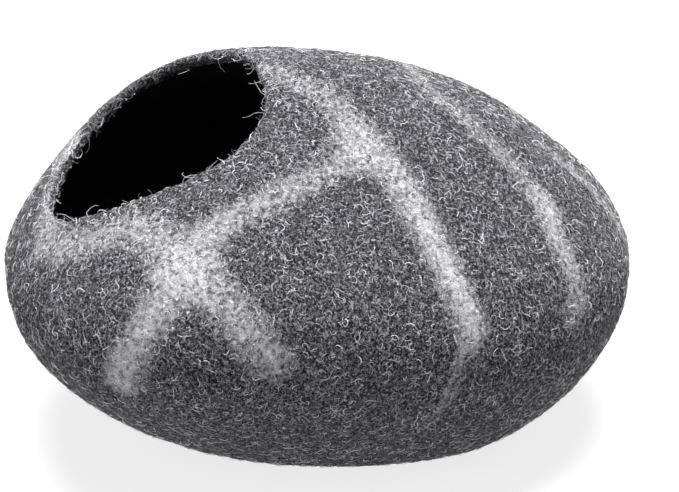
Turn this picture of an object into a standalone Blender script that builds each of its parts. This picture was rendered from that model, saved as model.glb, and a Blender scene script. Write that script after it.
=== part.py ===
# Felt cat cave: one hollow pebble of thick wool felt, with a mouth high on its front.
# Metres, +Z up. The mouth faces -Y, the rounded back is towards +Y, and the flat patch that it
# rests on lies at z = 0. The origin is under the middle of the finished cave.

import math

import bmesh
import bpy
from mathutils import Vector

# ---- driving dimensions ----------------------------------------------------------------------

wall = 0.009                 # thickness of the felt
lip_rows = 5                 # rows of faces round the half-round edge of the mouth

heart_height = 0.120         # the point inside that the shape is measured from, over the floor
reach_front = 0.235          # how far the plain pebble reaches from there, each way
reach_back = 0.265
reach_side = 0.230
reach_up = 0.155
reach_down = 0.165
crown_power = 1.4            # 2 is an ellipsoid, less is flatter-sided and nearer a cone
belly_power = 1.65
waist_spread = 0.25          # how gently the crown's power turns into the belly's
easing = 0.6                 # rounds the ridge and the peak that a power under 2 leaves
floor_easing = 0.012         # height over which the underside rolls up from its flat patch

mouth_turn = 2.0             # the mouth's axis, degrees from -Y towards +X
mouth_lift = 45              # and degrees up from level
mouth_radius = 0.092         # to the start of the lip, before the waves below

columns = 72                 # faces round the mouth
skin_rows = 26               # rows of faces from the mouth to the middle of the flat patch, each skin

# Hand-felted swellings and hollows: where on the pebble (azimuth from -Y towards +X, and lift,
# in degrees) and how much further out it stands there, as a share of the reach.
swelling_spread = 0.42
swellings = [
    {"name": "near cheek", "azimuth": 45, "lift": 10, "amount": 0.12},
    {"name": "near front tucked under", "azimuth": 45, "lift": -25, "amount": -0.05},
    {"name": "near side tucked under", "azimuth": 90, "lift": -25, "amount": -0.04},
    {"name": "near haunch, low", "azimuth": 135, "lift": -25, "amount": 0.10},
    {"name": "near haunch, high", "azimuth": 135, "lift": 10, "amount": -0.04},
    {"name": "back of the crown", "azimuth": 180, "lift": 45, "amount": 0.10},
    {"name": "far brow of the mouth", "azimuth": 315, "lift": 45, "amount": 0.16},
    {"name": "chin tucked in", "azimuth": 340, "lift": -10, "amount": -0.02},
]

# How the cut mouth strays from a circle: waves round it, each with its own share of the radius.
mouth_waves = [
    {"name": "stretched to an oval", "lobes": 2, "amount": 0.05, "turn": 110},
    {"name": "three soft corners", "lobes": 3, "amount": 0.03, "turn": 65},
]

felt_colour = (0.105, 0.105, 0.115, 1.0)
felt_roughness = 0.95


# ---- the pebble ------------------------------------------------------------------------------

def direction(azimuth, lift):
    """Unit vector at so many degrees from -Y towards +X, and so many up from level."""
    turn = math.radians(azimuth)
    rise = math.radians(lift)
    return Vector((math.cos(rise) * math.sin(turn), -math.cos(rise) * math.cos(turn), math.sin(rise)))


def pebble_radius(way):
    """Distance from the heart to the felt's outer face along the unit vector way."""
    reach_y = reach_back if way.y > 0 else reach_front
    reach_z = reach_up if way.z > 0 else reach_down
    crown_share = 0.5 + 0.5 * math.tanh(way.z / waist_spread)
    power = belly_power + (crown_power - belly_power) * crown_share
    level = math.sqrt((way.x / reach_side) ** 2 + (way.y / reach_y) ** 2 + easing ** 2)
    upright = math.sqrt((way.z / reach_z) ** 2 + easing ** 2)
    radius = (level ** power + upright ** power) ** (-1 / power)
    for swelling in swellings:
        closeness = way.dot(direction(swelling["azimuth"], swelling["lift"])) - 1
        radius *= 1 + swelling["amount"] * math.exp(closeness / swelling_spread ** 2)
    return radius


def settle(height):
    """The height once the underside has flattened against the floor."""
    if height >= floor_easing:
        return height
    if height <= -floor_easing:
        return 0.0
    return (height + floor_easing) ** 2 / (4 * floor_easing)


def skin_point(way):
    """The point of the outer face along the unit vector way."""
    point = way * pebble_radius(way)
    point.z = settle(point.z + heart_height)
    return point


# ---- the mouth -------------------------------------------------------------------------------

def way_from_axis(column, opening_angle, upright):
    """The direction at opening_angle from an axis, in the plane of one column.

    The axis is the mouth's own where upright is 0 and points straight up where it is 1, so
    the rows that start at the mouth end round the middle of the flat patch.
    """
    axis = direction(mouth_turn, mouth_lift + (90 - mouth_lift) * upright)
    side = direction(mouth_turn - 90, 0)
    slope = side.cross(axis)
    turn = 2 * math.pi * column / columns
    across = math.cos(turn) * side + math.sin(turn) * slope
    return math.cos(opening_angle) * axis + math.sin(opening_angle) * across


def mouth_reach(column):
    """Radius of the mouth at one column, at the start of its lip."""
    turn = 2 * math.pi * column / columns
    share = 1.0
    for wave in mouth_waves:
        share += wave["amount"] * math.cos(wave["lobes"] * turn - math.radians(wave["turn"]))
    return mouth_radius * share


def rim_angle(column):
    """The opening angle at which the outer face is mouth_reach away from the mouth's axis."""
    low = 0.0
    high = math.pi / 2
    for _ in range(40):
        middle = (low + high) / 2
        radius = pebble_radius(way_from_axis(column, middle, 0)) * math.sin(middle)
        if radius > mouth_reach(column):
            high = middle
        else:
            low = middle
    return (low + high) / 2


# ---- the felt --------------------------------------------------------------------------------

def row_point(column, row, rim):
    """The outer face's point at one column and row, which may both be fractions."""
    share = row / skin_rows
    angle = rim + (math.pi - rim) * share
    return skin_point(way_from_axis(column, angle, share))


def outer_rows():
    """Rows of (point, normal, way back to the mouth), from the mouth to the flat patch."""
    rims = [rim_angle(column) for column in range(columns)]
    step = 0.1
    rows = []
    for row in range(skin_rows):
        ring = []
        for column, rim in enumerate(rims):
            mouthward = row_point(column, row - step, rim) - row_point(column, row + step, rim)
            onward = row_point(column + step, row, rim) - row_point(column - step, row, rim)
            normal = mouthward.cross(onward).normalized()
            ring.append((row_point(column, row, rim), normal, mouthward.normalized()))
        rows.append(ring)
    return rows


def felt_rings(rows):
    """Rings of points: up the outer skin to the mouth, round its lip and down the inner skin."""
    rings = [[point for point, normal, mouthward in ring] for ring in reversed(rows)]
    for step in range(1, lip_rows):
        turn = math.pi * step / lip_rows
        lip = []
        for point, normal, mouthward in rows[0]:
            middle = point - normal * wall / 2
            lip.append(middle + wall / 2 * (math.cos(turn) * normal + math.sin(turn) * mouthward))
        rings.append(lip)
    rings += [[point - normal * wall for point, normal, mouthward in ring] for ring in rows]
    return rings


def make_felt():
    """The whole cave as one closed mesh, moved so that the origin is under its middle."""
    rings = felt_rings(outer_rows())
    outer_pole = skin_point(Vector((0, 0, -1)))
    inner_pole = outer_pole + Vector((0, 0, wall))

    points = [point for ring in rings for point in ring]
    lows = [min(point[axis] for point in points) for axis in range(2)]
    highs = [max(point[axis] for point in points) for axis in range(2)]
    middle = Vector(((lows[0] + highs[0]) / 2, (lows[1] + highs[1]) / 2, 0))

    mesh = bmesh.new()
    grid = [[mesh.verts.new(point - middle) for point in ring] for ring in rings]
    poles = [mesh.verts.new(outer_pole - middle), mesh.verts.new(inner_pole - middle)]
    for ring, following in zip(grid, grid[1:]):
        for column in range(columns):
            after = (column + 1) % columns
            mesh.faces.new((ring[column], ring[after], following[after], following[column]))
    for column in range(columns):
        after = (column + 1) % columns
        mesh.faces.new((poles[0], grid[0][after], grid[0][column]))
        mesh.faces.new((poles[1], grid[-1][column], grid[-1][after]))
    bmesh.ops.recalc_face_normals(mesh, faces=mesh.faces)
    for face in mesh.faces:
        face.smooth = True
    data = bpy.data.meshes.new("felt_cave")
    mesh.to_mesh(data)
    mesh.free()
    return data


def felt_material():
    material = bpy.data.materials.new("wool_felt")
    material.use_nodes = True
    surface = material.node_tree.nodes["Principled BSDF"]
    surface.inputs["Base Color"].default_value = felt_colour
    surface.inputs["Roughness"].default_value = felt_roughness
    surface.inputs["Metallic"].default_value = 0.0
    return material


def main():
    for old in list(bpy.data.objects):
        bpy.data.objects.remove(old, do_unlink=True)
    cave = bpy.data.objects.new("felt_cave", make_felt())
    cave.data.materials.append(felt_material())
    bpy.context.scene.collection.objects.link(cave)


main()
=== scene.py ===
import math

import bmesh
import bpy
import numpy as np
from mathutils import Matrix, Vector, noise
from mathutils.kdtree import KDTree


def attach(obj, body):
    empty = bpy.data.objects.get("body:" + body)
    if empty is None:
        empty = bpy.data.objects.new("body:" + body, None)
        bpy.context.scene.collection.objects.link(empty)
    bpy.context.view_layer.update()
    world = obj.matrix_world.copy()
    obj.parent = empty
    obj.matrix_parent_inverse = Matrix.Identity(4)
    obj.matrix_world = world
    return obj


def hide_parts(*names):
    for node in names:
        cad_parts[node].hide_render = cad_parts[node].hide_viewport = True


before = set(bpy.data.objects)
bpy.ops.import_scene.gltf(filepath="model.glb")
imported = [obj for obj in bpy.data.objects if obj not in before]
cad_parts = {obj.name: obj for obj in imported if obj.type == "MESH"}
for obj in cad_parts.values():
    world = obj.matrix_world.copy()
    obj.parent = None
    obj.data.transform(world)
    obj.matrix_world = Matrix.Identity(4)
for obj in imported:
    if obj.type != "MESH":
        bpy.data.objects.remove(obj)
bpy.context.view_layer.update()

# A felt cat cave: one hollow pebble of heather grey wool with white wool streaks felted into it,
# black inside, and a fuzz of loose curly fibres all over. Metres, +Z up, mouth towards -Y.

scene = bpy.context.scene


feltCave = {
    "node": "felt_cave",
    "subdivisions": 2,
    "heart": (0.001, -0.016, 0.120),   # middle of the hollow, which directions are measured from
    "lumps": [                         # hand-felted unevenness: how wide and how high
        {"width": 0.060, "height": 0.0016},
        {"width": 0.022, "height": 0.0008},
        {"width": 0.009, "height": 0.0003},
    ],
    "mergeDistance": 1e-5,
    "calmHeights": (0.003, 0.020),     # the lumps fade in between these heights over the floor
    "blackDepths": (0.016, 0.036),     # the grey wool turns black between these depths inside the lip
    "streakFacing": (-0.2, 0.3),       # white wool ends where the felt turns away from outwards
    "fuzzHeights": (0.001, 0.012),     # loose fibres start above the floor
    "fuzzDepths": (0.004, 0.020),      # and thin out inside the lip
    "fuzzInside": 0.1,                 # to this share
    "lipReach": (0.002, 0.010),        # how near the rim the long fibres of the lip grow
    "cutSize": (0.76, 0.62),           # the felt if it were opened out flat
    "cutArea": 0.451,
}

# White wool laid on before felting. Each path is a row of directions from the heart, as degrees
# round from -Y towards +X and degrees up. Widths and strengths run from its start to its end.
streakSteps = 10                       # places worked out along each leg of a path
streakSoftness = 1.6                   # more spreads a streak's edges
streaks = [
    {"name": "round the chin", "widths": (0.012, 0.013), "strengths": (0.38, 0.60),
     "path": [(-15, 25), (0, 20), (20, 15), (40, 25), (55, 20)]},
    {"name": "lower arm", "widths": (0.014, 0.011), "strengths": (0.58, 0.68),
     "path": [(55, 20), (65, 15), (75, 5)]},
    {"name": "lower leg", "widths": (0.012, 0.012), "strengths": (1.0, 0.60),
     "path": [(48, 0), (52, 10), (56, 20)]},
    {"name": "rising arm", "widths": (0.012, 0.011), "strengths": (0.62, 0.45),
     "path": [(55, 20), (60, 30), (75, 40), (105, 50)]},
    {"name": "shoulder top", "widths": (0.011, 0.014), "strengths": (0.36, 0.42),
     "path": [(0, 80), (85, 80), (110, 70), (110, 55)]},
    {"name": "shoulder", "widths": (0.014, 0.009), "strengths": (0.48, 1.0),
     "path": [(110, 55), (115, 45), (115, 30), (114, 6)]},
    {"name": "shoulder's thin end", "widths": (0.006, 0.005), "strengths": (0.70, 0.25),
     "path": [(114, 6), (110, 0), (105, -15)]},
    {"name": "back ridge", "widths": (0.010, 0.009), "strengths": (0.30, 0.48),
     "path": [(-155, 55), (170, 55), (155, 35), (150, 20)]},
    {"name": "back ridge, low", "widths": (0.009, 0.008), "strengths": (0.75, 0.50),
     "path": [(150, 20), (145, 15), (140, 5), (136, 2)]},
    {"name": "round the back", "widths": (0.009, 0.008), "strengths": (0.40, 0.50),
     "path": [(170, 25), (170, 15), (165, 0)]},
    {"name": "far chin", "widths": (0.011, 0.009), "strengths": (0.45, 0.70),
     "path": [(-15, 25), (-40, 20), (-60, 15), (-80, 5)]},
    {"name": "far shoulder", "widths": (0.010, 0.012), "strengths": (0.60, 0.80),
     "path": [(-70, 60), (-90, 45), (-100, 25), (-100, 5)]},
    {"name": "far haunch", "widths": (0.009, 0.010), "strengths": (0.50, 0.65),
     "path": [(-150, 50), (-140, 35), (-135, 15), (-130, 0)]},
]


def ramp(values, low, high):
    # 0 at low, 1 at high, smooth between
    share = np.clip((values - low) / (high - low), 0, 1)
    return share * share * (3 - 2 * share)


def wayFromAngles(azimuth, lift):
    turn = math.radians(azimuth)
    rise = math.radians(lift)
    return np.array((math.cos(rise) * math.sin(turn), -math.cos(rise) * math.cos(turn), math.sin(rise)))


def alongPath(corners, leg, share):
    # the place on a smooth curve through the corners, so far along one leg
    before = corners[max(leg - 1, 0)]
    first = corners[leg]
    second = corners[leg + 1]
    after = corners[min(leg + 2, len(corners) - 1)]
    straight = (second - before) * share
    bend = (2 * before - 5 * first + 4 * second - after) * share ** 2
    twist = (3 * first - before - 3 * second + after) * share ** 3
    spot = first + (straight + bend + twist) / 2
    return spot / np.linalg.norm(spot)


def streakStrength(points):
    # how much white wool there is at each point of the felt, 0 to 1
    offsets = points - np.array(feltCave["heart"])
    reach = np.linalg.norm(offsets, axis=1)
    ways = offsets / reach[:, None]
    clear = np.ones(len(points))
    for streak in streaks:
        corners = [wayFromAngles(*angles) for angles in streak["path"]]
        legs = len(corners) - 1
        best = np.zeros(len(points))
        for step in range(legs * streakSteps + 1):
            leg = min(step // streakSteps, legs - 1)
            spot = alongPath(corners, leg, step / streakSteps - leg)
            share = step / (legs * streakSteps)
            width = np.interp(share, (0, 1), streak["widths"])
            strength = np.interp(share, (0, 1), streak["strengths"])
            distance = np.linalg.norm(ways - spot, axis=1) * reach
            best = np.maximum(best, strength * np.exp(-(distance / width) ** 2 / streakSoftness))
        clear *= 1 - best
    return 1 - clear


def storeOnPoints(mesh, name, values):
    attribute = mesh.attributes.new(name, "FLOAT", "POINT")
    attribute.data.foreach_set("value", np.asarray(values, dtype=np.float32))


def smoothShell():
    # the CAD shell as smooth quads
    work = bmesh.new()
    work.from_mesh(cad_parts[feltCave["node"]].data)
    bmesh.ops.remove_doubles(work, verts=work.verts, dist=feltCave["mergeDistance"])
    bmesh.ops.join_triangles(work, faces=work.faces, angle_face_threshold=0.7, angle_shape_threshold=1.6)
    coarse = bpy.data.meshes.new("feltCoarse")
    work.to_mesh(coarse)
    work.free()
    felt = bpy.data.objects.new("feltCave", coarse)
    scene.collection.objects.link(felt)
    smooth = felt.modifiers.new("smooth", "SUBSURF")
    smooth.levels = smooth.render_levels = feltCave["subdivisions"]
    felt.data = bpy.data.meshes.new_from_object(felt.evaluated_get(bpy.context.evaluated_depsgraph_get()))
    felt.modifiers.clear()
    felt.data.name = "feltCave"
    return felt


def makeFelt():
    # the shell made uneven, with its wool colours and its share of loose fibres on its points
    felt = smoothShell()
    mesh = felt.data
    count = len(mesh.vertices)
    points = np.empty(count * 3)
    mesh.vertices.foreach_get("co", points)
    points = points.reshape(-1, 3)
    normals = np.array([vertex.normal for vertex in mesh.vertices])
    outward = points - np.array(feltCave["heart"])
    facing = (normals * outward).sum(axis=1) / np.linalg.norm(outward, axis=1)

    rise = np.zeros(count)
    for number, lump in enumerate(feltCave["lumps"]):
        shift = Vector((7.3 * number, 3.1, 5.7))
        for index in range(count):
            where = Vector(points[index]) / lump["width"] + shift
            rise[index] += lump["height"] * noise.noise(where)
    rise *= ramp(points[:, 2], *feltCave["calmHeights"])
    points += normals * rise[:, None]
    points[:, 2] = np.maximum(points[:, 2], 0)
    mesh.vertices.foreach_set("co", points.ravel())
    mesh.update()

    sideways = 0.25                    # the rim is where the felt faces neither out nor in
    rim = KDTree(count)
    for index in np.flatnonzero(np.abs(facing) < sideways):
        rim.insert(points[index], int(index))
    rim.balance()
    fromRim = np.array([rim.find(point)[2] for point in points])
    depth = fromRim * (facing < 0)
    fuzz = 1 - (1 - feltCave["fuzzInside"]) * ramp(depth, *feltCave["fuzzDepths"])
    storeOnPoints(mesh, "whiteWool", streakStrength(points) * ramp(facing, *feltCave["streakFacing"]))
    storeOnPoints(mesh, "blackWool", ramp(depth, *feltCave["blackDepths"]))
    storeOnPoints(mesh, "atTheLip", 1 - ramp(fromRim, *feltCave["lipReach"]))
    storeOnPoints(mesh, "fuzz", ramp(points[:, 2], *feltCave["fuzzHeights"]) * fuzz)
    for face in mesh.polygons:
        face.use_smooth = True
    return felt


def addNode(tree, kind, inputs=None, **settings):
    node = tree.nodes.new(kind)
    for name, value in settings.items():
        setattr(node, name, value)
    for name, value in (inputs or {}).items():
        if isinstance(value, bpy.types.NodeSocket):
            tree.links.new(value, node.inputs[name])
        else:
            node.inputs[name].default_value = value
    return node


def calculate(tree, operation, *values, clamp=False):
    node = addNode(tree, "ShaderNodeMath", dict(enumerate(values)), operation=operation, use_clamp=clamp)
    return node.outputs[0]


def vectorMath(tree, operation, *values, output=0):
    node = addNode(tree, "ShaderNodeVectorMath", dict(enumerate(values)), operation=operation)
    return node.outputs[output]


def mixColours(tree, factor, first, second):
    node = addNode(tree, "ShaderNodeMix", {0: factor, 6: first, 7: second}, data_type="RGBA")
    return node.outputs[2]


def remap(tree, value, low, high, toLow=0.0, toHigh=1.0):
    node = addNode(tree, "ShaderNodeMapRange", {0: value, 1: low, 2: high, 3: toLow, 4: toHigh})
    return node.outputs[0]


def newGroup(name, kind, inputs, outputs):
    # inputs and outputs are rows of (name, socket type, default)
    group = bpy.data.node_groups.new(name, kind)
    for label, socketType, default in inputs:
        socket = group.interface.new_socket(label, in_out="INPUT", socket_type=socketType)
        if default is not None:
            socket.default_value = default
    for label, socketType in outputs:
        group.interface.new_socket(label, in_out="OUTPUT", socket_type=socketType)
    return group, group.nodes.new("NodeGroupInput"), group.nodes.new("NodeGroupOutput")


def curledFibres():
    # one layer of short curly fibres: thin bright lines where a noise crosses its middle value
    group, given, result = newGroup(
        "curledFibres", "ShaderNodeTree",
        [("Vector", "NodeSocketVector", None), ("Scale", "NodeSocketFloat", 250.0),
         ("Thickness", "NodeSocketFloat", 0.05), ("Gaps", "NodeSocketFloat", 0.45)],
        [("Fibres", "NodeSocketFloat")])
    vector = given.outputs["Vector"]
    scale = given.outputs["Scale"]
    field = addNode(group, "ShaderNodeTexNoise",
                    {"Vector": vector, "Scale": scale, "Detail": 1.0, "Roughness": 0.6, "Distortion": 0.6})
    away = calculate(group, "ABSOLUTE", calculate(group, "SUBTRACT", field.outputs["Fac"], 0.5))
    line = calculate(group, "SUBTRACT", 1.0, calculate(group, "DIVIDE", away, given.outputs["Thickness"]),
                     clamp=True)
    shifted = vectorMath(group, "ADD", vector, (0.31, 0.17, 0.23))
    patches = addNode(group, "ShaderNodeTexNoise",
                      {"Vector": shifted, "Scale": calculate(group, "MULTIPLY", scale, 0.8), "Detail": 0.0})
    shown = addNode(group, "ShaderNodeMapRange",
                    {0: patches.outputs["Fac"], 1: given.outputs["Gaps"],
                     2: calculate(group, "ADD", given.outputs["Gaps"], 0.12)})
    group.links.new(calculate(group, "MULTIPLY", line, shown.outputs[0]), result.inputs["Fibres"])
    return group


def heatherWool(fibreGroup):
    # tangled wool: layers of fibres over dark gaps, with the mottling of a heather yarn
    group, given, result = newGroup(
        "heatherWool", "ShaderNodeTree",
        [("Vector", "NodeSocketVector", None), ("Scale", "NodeSocketFloat", 250.0)],
        [("Tangle", "NodeSocketFloat"), ("Height", "NodeSocketFloat"), ("Mottle", "NodeSocketFloat")])
    vector = given.outputs["Vector"]
    layers = [                         # size against the first, shift, thickness, gaps, brightness
        {"size": 1.00, "shift": (0.0, 0.0, 0.0), "thickness": 0.055, "gaps": 0.50, "bright": 0.40},
        {"size": 1.35, "shift": (1.7, 0.4, 2.1), "thickness": 0.060, "gaps": 0.52, "bright": 0.80},
        {"size": 0.75, "shift": (0.3, 2.9, 1.2), "thickness": 0.042, "gaps": 0.53, "bright": 1.00},
        {"size": 1.80, "shift": (2.2, 1.1, 0.6), "thickness": 0.060, "gaps": 0.46, "bright": 0.35},
    ]
    tangle = None
    for layer in layers:
        moved = vectorMath(group, "ADD", vector, layer["shift"])
        size = calculate(group, "MULTIPLY", given.outputs["Scale"], layer["size"])
        fibres = addNode(group, "ShaderNodeGroup", node_tree=fibreGroup)
        group.links.new(moved, fibres.inputs["Vector"])
        group.links.new(size, fibres.inputs["Scale"])
        fibres.inputs["Thickness"].default_value = layer["thickness"]
        fibres.inputs["Gaps"].default_value = layer["gaps"]
        bright = calculate(group, "MULTIPLY", fibres.outputs["Fibres"], layer["bright"])
        tangle = bright if tangle is None else calculate(group, "MAXIMUM", tangle, bright)
    mottle = addNode(group, "ShaderNodeTexNoise",
                     {"Vector": vector, "Scale": calculate(group, "MULTIPLY", given.outputs["Scale"], 0.5),
                      "Detail": 3.0, "Roughness": 0.6})
    height = calculate(group, "MULTIPLY_ADD", mottle.outputs["Fac"], 0.8, tangle)
    group.links.new(tangle, result.inputs["Tangle"])
    group.links.new(height, result.inputs["Height"])
    group.links.new(mottle.outputs["Fac"], result.inputs["Mottle"])
    return group


feltFinish = {
    "fibresPerMetre": 500.0,
    # The gap and under-layer colours are partly the wool's own dark fibres and partly painted shade between
    # the fibres; they are darker than the black wool inside.
    "greyGapAndShade": (0.002, 0.002, 0.003, 1),
    "greyUnderlayerAndShade": (0.007, 0.007, 0.008, 1),
    "greyFibre": (0.56, 0.56, 0.59, 1),
    "whiteGapAndShade": (0.07, 0.07, 0.073, 1),
    "whiteWool": (0.34, 0.34, 0.35, 1),
    "whiteFibre": (0.86, 0.86, 0.87, 1),
    "blackWool": (0.018, 0.018, 0.020, 1),
    "blackFibre": (0.06, 0.06, 0.063, 1),
    "bumpDepth": 0.0012,
    "bumpStrength": 0.9,
    "roughness": 0.95,
    "specular": 0.15,
}


def attributeValue(tree, name):
    return addNode(tree, "ShaderNodeAttribute", attribute_name=name).outputs["Fac"]


def feltMaterial(woolGroup):
    material = bpy.data.materials.new("heatherFelt")
    material.use_nodes = True
    tree = material.node_tree
    surface = tree.nodes["Principled BSDF"]
    place = addNode(tree, "ShaderNodeTexCoord").outputs["Object"]
    wool = addNode(tree, "ShaderNodeGroup", node_tree=woolGroup)
    tree.links.new(place, wool.inputs["Vector"])
    wool.inputs["Scale"].default_value = feltFinish["fibresPerMetre"]
    tangle = wool.outputs["Tangle"]
    mottle = wool.outputs["Mottle"]

    # the dark under the grey fibres: dark heather fibres with painted shade between the fibres
    body = mixColours(tree, remap(tree, mottle, 0.38, 0.62), feltFinish["greyGapAndShade"], feltFinish["greyUnderlayerAndShade"])
    grey = mixColours(tree, tangle, body, feltFinish["greyFibre"])
    # the dark under the white fibres: the felt beneath with painted shade between the fibres
    paleUnderlayerAndShade = mixColours(tree, remap(tree, mottle, 0.34, 0.58),
                          feltFinish["whiteGapAndShade"], feltFinish["whiteWool"])
    white = mixColours(tree, tangle, paleUnderlayerAndShade, feltFinish["whiteFibre"])

    # the white wool thins out fibre by fibre at a streak's edges
    streak = attributeValue(tree, "whiteWool")
    ragged = calculate(tree, "MULTIPLY_ADD", calculate(tree, "SUBTRACT", mottle, 0.5), 1.1, streak)
    ragged = calculate(tree, "MULTIPLY_ADD", calculate(tree, "SUBTRACT", tangle, 0.3), 0.25, ragged)
    whiteShare = remap(tree, ragged, 0.10, 0.85)
    whiteShare = calculate(tree, "MULTIPLY", whiteShare, remap(tree, streak, 0.02, 0.25))
    outside = mixColours(tree, whiteShare, grey, white)

    inside = mixColours(tree, tangle, feltFinish["blackWool"], feltFinish["blackFibre"])
    black = attributeValue(tree, "blackWool")
    blackRagged = calculate(tree, "MULTIPLY_ADD", calculate(tree, "SUBTRACT", mottle, 0.5), 0.8, black)
    colour = mixColours(tree, remap(tree, blackRagged, 0.35, 0.65), outside, inside)
    tree.links.new(colour, surface.inputs["Base Color"])

    bump = addNode(tree, "ShaderNodeBump",
                   {"Height": wool.outputs["Height"], "Strength": feltFinish["bumpStrength"],
                    "Distance": feltFinish["bumpDepth"]})
    tree.links.new(bump.outputs["Normal"], surface.inputs["Normal"])
    surface.inputs["Roughness"].default_value = feltFinish["roughness"]
    surface.inputs["Specular IOR Level"].default_value = feltFinish["specular"]
    return material


# Each row is one piece: fibres of one kind, scattered over the felt as far as the attribute in
# "where" says. Thickness is a fibre's radius. Curl is how far it turns, in radians, and lift and
# arch are how far its tip and its middle rise, as shares of its length.
fibreKinds = [
    {"name": "fibresPaleA", "seed": 11, "where": "fuzz", "perSquareMetre": 13200, "length": (0.005, 0.011),
     "thickness": 0.00021, "curl": 4.2, "lift": 0.18, "arch": 0.10, "tone": (0.25, 0.85)},
    {"name": "fibresPaleB", "seed": 12, "where": "fuzz", "perSquareMetre": 13200, "length": (0.004, 0.009),
     "thickness": 0.00022, "curl": 3.2, "lift": 0.12, "arch": 0.08, "tone": (0.06, 0.30)},
    {"name": "fibresDark", "seed": 13, "where": "fuzz", "perSquareMetre": 13000, "length": (0.004, 0.010),
     "thickness": 0.00024, "curl": 3.6, "lift": 0.10, "arch": 0.07, "tone": (0.002, 0.03)},
    {"name": "fibresLip", "seed": 15, "where": "atTheLip", "perSquareMetre": 9000, "length": (0.009, 0.022),
     "thickness": 0.00024, "curl": 5.0, "lift": 0.55, "arch": 0.12, "tone": (0.35, 0.85)},
    {"name": "fibresFine", "seed": 14, "where": "fuzz", "perSquareMetre": 13200, "length": (0.003, 0.007),
     "thickness": 0.00020, "curl": 2.4, "lift": 0.28, "arch": 0.05, "tone": (0.12, 0.55)},
]
fibrePoints = 6                        # points along a fibre
fibreCells = 110.0                     # rows and columns of squares that the fibres' colours fill


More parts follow.
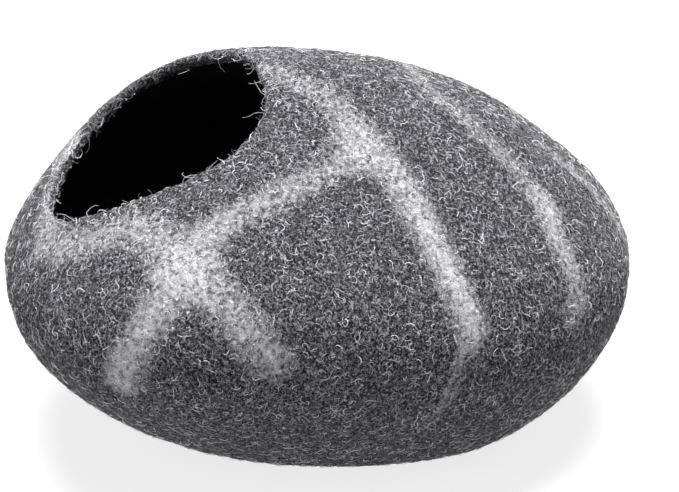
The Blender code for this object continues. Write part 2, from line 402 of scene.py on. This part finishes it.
def fibreTree():
    # scatters curly fibres over a mesh, each an arc in the felt's plane that also lifts off it
    group, given, result = newGroup(
        "looseFibres", "GeometryNodeTree",
        [("Geometry", "NodeSocketGeometry", None), ("Where", "NodeSocketString", "fuzz"),
         ("Density", "NodeSocketFloat", 15000.0),
         ("Seed", "NodeSocketInt", 1), ("Shortest", "NodeSocketFloat", 0.004),
         ("Longest", "NodeSocketFloat", 0.010), ("Thickness", "NodeSocketFloat", 0.0002),
         ("Curl", "NodeSocketFloat", 4.0), ("Lift", "NodeSocketFloat", 0.2),
         ("Arch", "NodeSocketFloat", 0.1), ("Darkest", "NodeSocketFloat", 0.2),
         ("Palest", "NodeSocketFloat", 0.7), ("Material", "NodeSocketMaterial", None)],
        [("Geometry", "NodeSocketGeometry")])

    def attribute(name, kind="FLOAT"):
        return addNode(group, "GeometryNodeInputNamedAttribute", {"Name": name}, data_type=kind).outputs[0]

    def randomValue(low, high, seedShift):
        seed = calculate(group, "ADD", given.outputs["Seed"], seedShift)
        node = addNode(group, "FunctionNodeRandomValue", data_type="FLOAT")
        for socket, value in ((node.inputs[2], low), (node.inputs[3], high), (node.inputs["Seed"], seed)):
            if isinstance(value, bpy.types.NodeSocket):
                group.links.new(value, socket)
            else:
                socket.default_value = value
        return node.outputs[1]

    def randomVector(seedShift):
        seed = calculate(group, "ADD", given.outputs["Seed"], seedShift)
        node = addNode(group, "FunctionNodeRandomValue", data_type="FLOAT_VECTOR")
        node.inputs[0].default_value = (-1, -1, -1)
        node.inputs[1].default_value = (1, 1, 1)
        group.links.new(seed, node.inputs["Seed"])
        return node.outputs[0]

    def store(geometry, name, value, kind="FLOAT", domain="POINT"):
        node = addNode(group, "GeometryNodeStoreNamedAttribute", {"Geometry": geometry, "Name": name},
                       data_type=kind, domain=domain)
        group.links.new(value, node.inputs["Value"])
        return node.outputs[0]

    def scaled(vector, amount):
        node = addNode(group, "ShaderNodeVectorMath", {0: vector, "Scale": amount}, operation="SCALE")
        return node.outputs[0]

    density = calculate(group, "MULTIPLY", given.outputs["Density"], attribute(given.outputs["Where"]))
    roots = addNode(group, "GeometryNodeDistributePointsOnFaces",
                    {"Mesh": given.outputs["Geometry"], "Density": density, "Seed": given.outputs["Seed"]})
    points = roots.outputs["Points"]
    points = store(points, "up", roots.outputs["Normal"], "FLOAT_VECTOR")
    points = store(points, "root", addNode(group, "GeometryNodeInputPosition").outputs[0], "FLOAT_VECTOR")
    points = store(points, "length", randomValue(given.outputs["Shortest"], given.outputs["Longest"], 1))
    backwards = calculate(group, "MULTIPLY", given.outputs["Curl"], -1.0)
    points = store(points, "bend", randomValue(backwards, given.outputs["Curl"], 2))
    rarity = calculate(group, "POWER", randomValue(0.0, 1.0, 3), 3.0)
    points = store(points, "rising", calculate(group, "MULTIPLY", rarity, given.outputs["Lift"]))
    points = store(points, "tone", randomValue(given.outputs["Darkest"], given.outputs["Palest"], 4))
    points = store(points, "phase", randomValue(0.0, 6.283, 5))
    across = vectorMath(group, "NORMALIZE", vectorMath(group, "CROSS_PRODUCT", roots.outputs["Normal"],
                                                       randomVector(6)))
    points = store(points, "heading", across, "FLOAT_VECTOR")

    line = addNode(group, "GeometryNodeCurvePrimitiveLine", {"End": (0, 0, 0.001)})
    strand = addNode(group, "GeometryNodeResampleCurve", {"Curve": line.outputs[0], "Count": fibrePoints})
    placed = addNode(group, "GeometryNodeInstanceOnPoints",
                     {"Points": points, "Instance": strand.outputs[0]})
    curves = addNode(group, "GeometryNodeRealizeInstances", {"Geometry": placed.outputs[0]}).outputs[0]

    # along a fibre of length 1 that bends evenly: how far ahead, sideways and up each point is
    along = addNode(group, "GeometryNodeSplineParameter").outputs["Factor"]
    bend = calculate(group, "ADD", attribute("bend"), 0.001)
    turned = calculate(group, "MULTIPLY", bend, along)
    ahead = calculate(group, "DIVIDE", calculate(group, "SINE", turned), bend)
    sideways = calculate(group, "DIVIDE", calculate(group, "SUBTRACT", 1.0,
                                                    calculate(group, "COSINE", turned)), bend)
    ripple = calculate(group, "SINE", calculate(group, "MULTIPLY_ADD", along, 9.0, attribute("phase")))
    sideways = calculate(group, "MULTIPLY_ADD", ripple, 0.05, sideways)
    halfTurn = calculate(group, "SINE", calculate(group, "MULTIPLY", along, 3.1416))
    arch = calculate(group, "MULTIPLY", halfTurn, given.outputs["Arch"])
    tip = calculate(group, "POWER", along, 1.5)
    upwards = calculate(group, "MULTIPLY_ADD", tip, attribute("rising"), arch)
    upwards = calculate(group, "SUBTRACT", upwards, 0.03)   # the root is sunk in the felt

    up = attribute("up", "FLOAT_VECTOR")
    heading = attribute("heading", "FLOAT_VECTOR")
    beside = vectorMath(group, "CROSS_PRODUCT", up, heading)
    offset = None
    for direction, amount in ((heading, ahead), (beside, sideways), (up, upwards)):
        part = scaled(direction, amount)
        offset = part if offset is None else vectorMath(group, "ADD", offset, part)
    offset = scaled(offset, attribute("length"))
    position = vectorMath(group, "ADD", attribute("root", "FLOAT_VECTOR"), offset)
    bent = addNode(group, "GeometryNodeSetPosition", {"Geometry": curves, "Position": position})

    taper = calculate(group, "SUBTRACT", 1.0, calculate(group, "MULTIPLY", along, 0.6))
    radius = calculate(group, "MULTIPLY", given.outputs["Thickness"], taper)
    numbered = store(bent.outputs[0], "strand", addNode(group, "GeometryNodeInputIndex").outputs[0],
                     "FLOAT", "CURVE")
    numbered = store(numbered, "along", along)
    section = addNode(group, "GeometryNodeCurvePrimitiveCircle", {"Resolution": 3, "Radius": 1.0})
    solid = addNode(group, "GeometryNodeCurveToMesh",
                    {"Curve": numbered, "Profile Curve": section.outputs[0], "Scale": radius,
                     "Fill Caps": True})
    mesh = solid.outputs[0]

    # a small square of the image for each fibre, so that its colour can be laid out flat
    strandNumber = attribute("strand")
    column = calculate(group, "MODULO", strandNumber, fibreCells)
    row = calculate(group, "FLOOR", calculate(group, "DIVIDE", strandNumber, fibreCells))
    corner = calculate(group, "MODULO", addNode(group, "GeometryNodeInputIndex").outputs[0], 3.0)
    acrossCell = calculate(group, "ADD", column, remap(group, attribute("along"), 0, 1, 0.2, 0.8))
    upCell = calculate(group, "ADD", row, remap(group, corner, 0, 2, 0.2, 0.8))
    flat = addNode(group, "ShaderNodeCombineXYZ", {
        0: calculate(group, "DIVIDE", acrossCell, fibreCells),
        1: calculate(group, "DIVIDE", upCell, fibreCells)})
    mesh = store(mesh, "cell", flat.outputs[0], "FLOAT_VECTOR")
    mesh = store(mesh, "OFBake", attribute("cell", "FLOAT_VECTOR"), "FLOAT2", "CORNER")
    realized = addNode(group, "GeometryNodeRealizeInstances", {"Geometry": mesh})
    coloured = addNode(group, "GeometryNodeSetMaterial",
                       {"Geometry": realized.outputs[0], "Material": given.outputs["Material"]})
    group.links.new(coloured.outputs[0], result.inputs["Geometry"])
    return group


looseFinish = {
    "whiteFibre": (0.60, 0.60, 0.61, 1),
    "blackFibre": (0.014, 0.014, 0.016, 1),
    "roughness": 0.75,
    "specular": 0.25,
}


def looseFibreMaterial():
    material = bpy.data.materials.new("looseWool")
    material.use_nodes = True
    tree = material.node_tree
    surface = tree.nodes["Principled BSDF"]
    tone = attributeValue(tree, "tone")
    bluish = calculate(tree, "MULTIPLY", tone, 1.05)
    grey = addNode(tree, "ShaderNodeCombineColor", {0: tone, 1: tone, 2: bluish})
    white = remap(tree, attributeValue(tree, "whiteWool"), 0.15, 1.0, 0.0, 0.85)
    pale = mixColours(tree, white, grey.outputs[0], looseFinish["whiteFibre"])
    black = remap(tree, attributeValue(tree, "blackWool"), 0.55, 0.95)
    colour = mixColours(tree, black, pale, looseFinish["blackFibre"])
    tree.links.new(colour, surface.inputs["Base Color"])
    surface.inputs["Roughness"].default_value = looseFinish["roughness"]
    surface.inputs["Specular IOR Level"].default_value = looseFinish["specular"]
    return material


def makeFibres(kind, felt, tree, material):
    # a copy of the felt carries the scatter, and is left holding only the fibres
    piece = bpy.data.objects.new(kind["name"], felt.data.copy())
    scene.collection.objects.link(piece)
    scatter = piece.modifiers.new("scatter", "NODES")
    scatter.node_group = tree
    values = {
        "Where": kind["where"], "Density": float(kind["perSquareMetre"]), "Seed": kind["seed"],
        "Shortest": kind["length"][0], "Longest": kind["length"][1], "Thickness": kind["thickness"],
        "Curl": kind["curl"], "Lift": kind["lift"], "Arch": kind["arch"],
        "Darkest": kind["tone"][0], "Palest": kind["tone"][1], "Material": material,
    }
    for socket in tree.interface.items_tree:
        if socket.in_out == "INPUT" and socket.name in values:
            scatter[socket.identifier] = values[socket.name]
    grown = bpy.data.meshes.new_from_object(piece.evaluated_get(bpy.context.evaluated_depsgraph_get()))
    piece.modifiers.clear()
    piece.data = grown
    for face in grown.polygons:
        face.use_smooth = True
    print(kind["name"], "triangles:", sum(len(face.vertices) - 2 for face in grown.polygons))
    return piece


studio = {
    "floorSize": 12.0,
    "floorRoughness": 0.9,
    "floorColour": (0.22, 0.22, 0.22, 1),
    "floorGlow": 0.78,
    "skyStrength": 0.50,
    "lights": [
        {"name": "overhead", "place": (-0.6, 0.1, 2.3), "size": 2.0, "power": 255.0},
        {"name": "leftWindow", "place": (0.8, -2.6, 0.4), "size": 1.6, "power": 12.0},
    ],
    "lit": (0, 0, 0.1),                # what the lights face
    "aim": (0.0084, 0.0148, 0.1283),
    "azimuth": 78.7,
    "lift": 24.5,
    "distance": 1.9,
    "lens": 131.0,
}


def makeStudio():
    scene.view_settings.view_transform = "Standard"
    world = bpy.data.worlds.new("paleRoom")
    world.use_nodes = True
    sky = world.node_tree.nodes["Background"]
    sky.inputs["Color"].default_value = (1, 1, 1, 1)
    sky.inputs["Strength"].default_value = studio["skyStrength"]
    scene.world = world

    bpy.ops.mesh.primitive_plane_add(size=studio["floorSize"])
    floor = bpy.context.object
    floor.name = "floor"
    paper = bpy.data.materials.new("whitePaper")
    paper.use_nodes = True
    surface = paper.node_tree.nodes["Principled BSDF"]
    surface.inputs["Base Color"].default_value = studio["floorColour"]
    surface.inputs["Roughness"].default_value = studio["floorRoughness"]
    surface.inputs["Emission Color"].default_value = (1, 1, 1, 1)
    surface.inputs["Emission Strength"].default_value = studio["floorGlow"]
    floor.data.materials.append(paper)

    for light in studio["lights"]:
        lamp = bpy.data.lights.new(light["name"], "AREA")
        lamp.shape = "DISK"
        lamp.size = light["size"]
        lamp.energy = light["power"]
        holder = bpy.data.objects.new(light["name"], lamp)
        holder.location = light["place"]
        towards = Vector(studio["lit"]) - holder.location
        holder.rotation_euler = towards.to_track_quat("-Z", "Y").to_euler()
        scene.collection.objects.link(holder)

    turn = math.radians(studio["azimuth"])
    rise = math.radians(studio["lift"])
    back = Vector((math.sin(turn) * math.cos(rise), -math.cos(turn) * math.cos(rise), math.sin(rise)))
    camera = bpy.data.objects.new("camera", bpy.data.cameras.new("camera"))
    camera.location = Vector(studio["aim"]) + back * studio["distance"]
    camera.rotation_euler = (-back).to_track_quat("-Z", "Y").to_euler()
    camera.data.lens = studio["lens"]
    scene.collection.objects.link(camera)
    scene.camera = camera


felt = makeFelt()
felt.data.materials.append(feltMaterial(heatherWool(curledFibres())))
print("felt:", len(felt.data.polygons), "faces")

scatterTree = fibreTree()
looseWool = looseFibreMaterial()
fibres = [makeFibres(kind, felt, scatterTree, looseWool) for kind in fibreKinds]

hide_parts(feltCave["node"])
for piece in [felt] + fibres:
    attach(piece, "root")

makeStudio()
